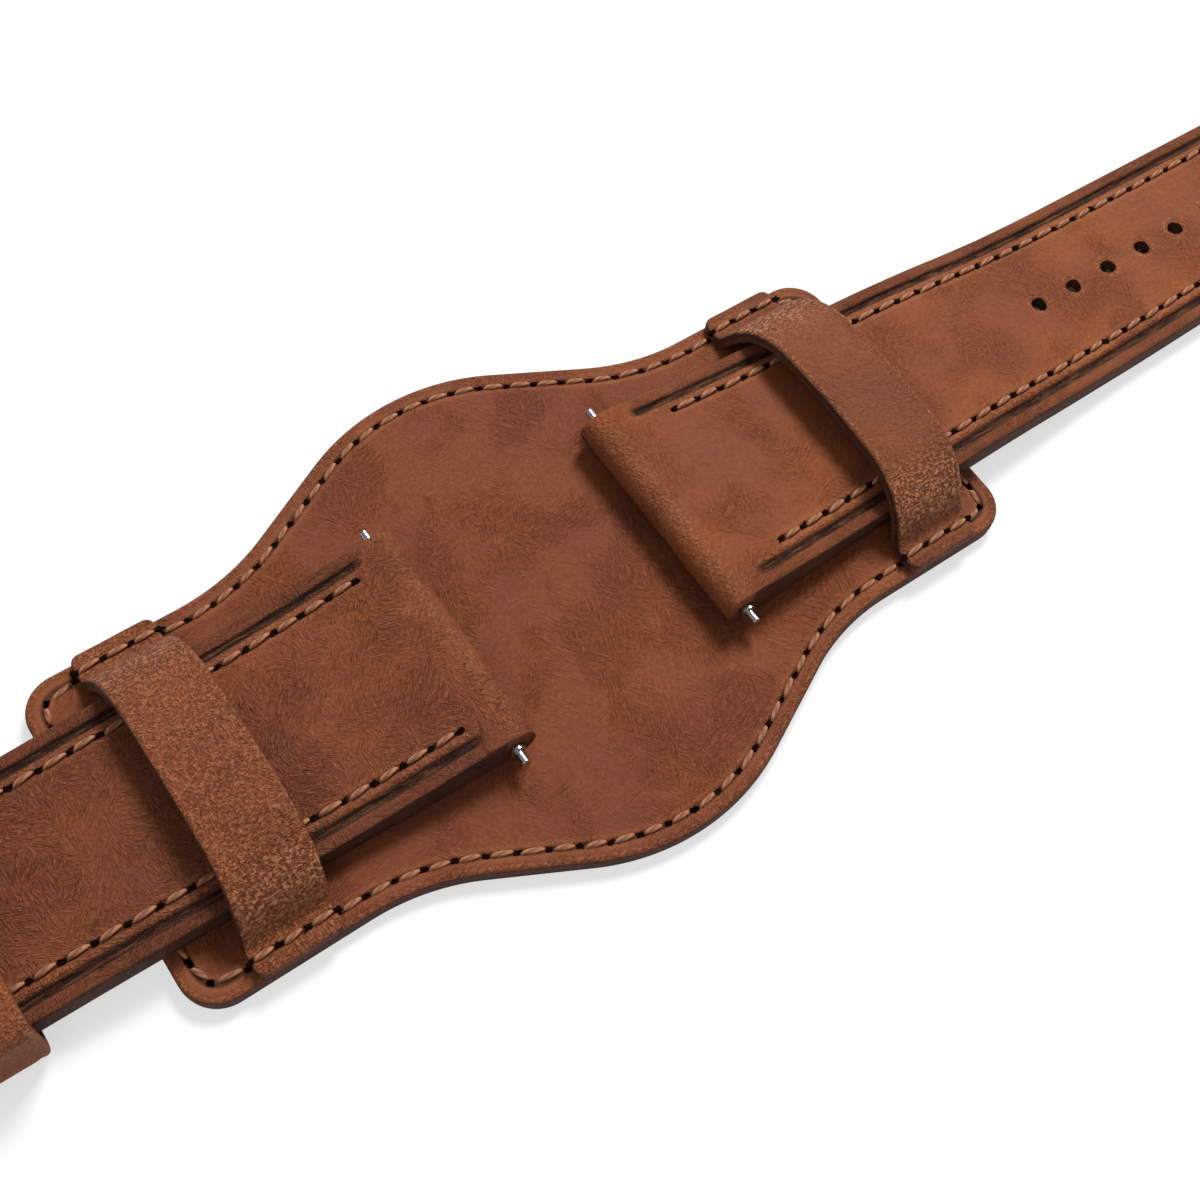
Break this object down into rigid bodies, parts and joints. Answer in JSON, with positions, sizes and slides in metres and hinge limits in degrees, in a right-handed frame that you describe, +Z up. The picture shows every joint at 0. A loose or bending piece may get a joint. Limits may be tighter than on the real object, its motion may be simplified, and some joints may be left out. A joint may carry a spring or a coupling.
{
  "type": "bund watch strap",
  "caption": "Brown leather watch strap in two halves held by sewn leather bridges on a wide bund pad, with spring bars, keepers and a steel pin buckle",
  "frame": {"origin": "centre of the pad's flat underside", "axes": "+X along the strap towards its holes, +Y across the strap, +Z up out of the pad's face"},
  "size_m": [0.222, 0.0516, 0.0092],
  "materials": {
    "pad_leather": "matt oiled leather",
    "strap_leather": "matt oiled leather",
    "bridge_leather": "matt oiled leather, lighter where it bends",
    "lining_leather": "smooth lining leather",
    "filler": "bonded leather fibre",
    "thread": "waxed thread",
    "bar_steel": "polished steel",
    "spring_steel": "spring wire",
    "buckle_steel": "brushed steel"
  },
  "bodies": {
    "pad": {"pad_top": "pad_leather", "pad_filler": "filler", "pad_lining": "lining_leather", "pad_stitching": "thread", "tip_bridge_top": "bridge_leather", "tip_bridge_lining": "lining_leather", "buckle_bridge_top": "bridge_leather", "buckle_bridge_lining": "lining_leather"},
    "tip_strap": {"tip_strap_top": "strap_leather", "tip_strap_core": "filler", "tip_strap_lining": "lining_leather", "tip_strap_stitching": "thread"},
    "buckle_strap": {"buckle_strap_top": "strap_leather", "buckle_strap_core": "filler", "buckle_strap_lining": "lining_leather", "buckle_strap_stitching": "thread", "fixed_keeper": "strap_leather"},
    "free_keeper": {"free_keeper": "strap_leather"},
    "buckle_frame": {"buckle_frame": "buckle_steel"},
    "buckle_tang": {"buckle_tang": "buckle_steel"},
    "tip_bar": {"tip_bar_tube": "bar_steel", "tip_bar_coil": "spring_steel"},
    "tip_bar_far_tip": {"tip_bar_far_tip": "bar_steel"},
    "tip_bar_near_tip": {"tip_bar_near_tip": "bar_steel"},
    "buckle_side_bar": {"buckle_side_bar_tube": "bar_steel", "buckle_side_bar_coil": "spring_steel"},
    "buckle_side_bar_far_tip": {"buckle_side_bar_far_tip": "bar_steel"},
    "buckle_side_bar_near_tip": {"buckle_side_bar_near_tip": "bar_steel"},
    "buckle_pin": {"buckle_pin_tube": "bar_steel", "buckle_pin_coil": "spring_steel"},
    "buckle_pin_far_tip": {"buckle_pin_far_tip": "bar_steel"},
    "buckle_pin_near_tip": {"buckle_pin_near_tip": "bar_steel"}
  },
  "joints": [
    {"name": "tip_strap_slide", "type": "slide", "parent": "pad", "child": "tip_strap", "axis": [1, 0, 0], "range_m": [0, 0.008]},
    {"name": "buckle_strap_slide", "type": "slide", "parent": "pad", "child": "buckle_strap", "axis": [-1, 0, 0], "range_m": [0, 0.01]},
    {"name": "free_keeper_slide", "type": "slide", "parent": "buckle_strap", "child": "free_keeper", "axis": [1, 0, 0], "range_m": [-0.0095, 0.009]},
    {"name": "tip_bar_spin", "type": "hinge", "parent": "tip_strap", "child": "tip_bar", "pos_m": [0.0146, 0, 0.0043], "axis": [0, 1, 0], "continuous": true},
    {"name": "tip_bar_far_tip_press", "type": "slide", "parent": "tip_bar", "child": "tip_bar_far_tip", "axis": [0, -1, 0], "range_m": [0, 0.0011], "stiffness_N_per_m": 900},
    {"name": "tip_bar_near_tip_press", "type": "slide", "parent": "tip_bar", "child": "tip_bar_near_tip", "axis": [0, 1, 0], "range_m": [0, 0.0011], "stiffness_N_per_m": 900},
    {"name": "buckle_side_bar_spin", "type": "hinge", "parent": "buckle_strap", "child": "buckle_side_bar", "pos_m": [-0.0104, 0, 0.0043], "axis": [0, 1, 0], "continuous": true},
    {"name": "buckle_side_bar_far_tip_press", "type": "slide", "parent": "buckle_side_bar", "child": "buckle_side_bar_far_tip", "axis": [0, -1, 0], "range_m": [0, 0.0011], "stiffness_N_per_m": 900},
    {"name": "buckle_side_bar_near_tip_press", "type": "slide", "parent": "buckle_side_bar", "child": "buckle_side_bar_near_tip", "axis": [0, 1, 0], "range_m": [0, 0.0011], "stiffness_N_per_m": 900},
    {"name": "buckle_pin_spin", "type": "hinge", "parent": "buckle_strap", "child": "buckle_pin", "pos_m": [-0.0854, 0, 0.00325], "axis": [0, 1, 0], "continuous": true},
    {"name": "buckle_pin_far_tip_press", "type": "slide", "parent": "buckle_pin", "child": "buckle_pin_far_tip", "axis": [0, -1, 0], "range_m": [0, 0.0011], "stiffness_N_per_m": 900},
    {"name": "buckle_pin_near_tip_press", "type": "slide", "parent": "buckle_pin", "child": "buckle_pin_near_tip", "axis": [0, 1, 0], "range_m": [0, 0.0011], "stiffness_N_per_m": 900},
    {"name": "buckle_frame_swing", "type": "hinge", "parent": "buckle_strap", "child": "buckle_frame", "pos_m": [-0.0854, 0, 0.00325], "axis": [0, -1, 0], "range_deg": [0, 65]},
    {"name": "buckle_tang_lift", "type": "hinge", "parent": "buckle_strap", "child": "buckle_tang", "pos_m": [-0.0854, 0, 0.00325], "axis": [0, 1, 0], "range_deg": [0, 110]}
  ]
}
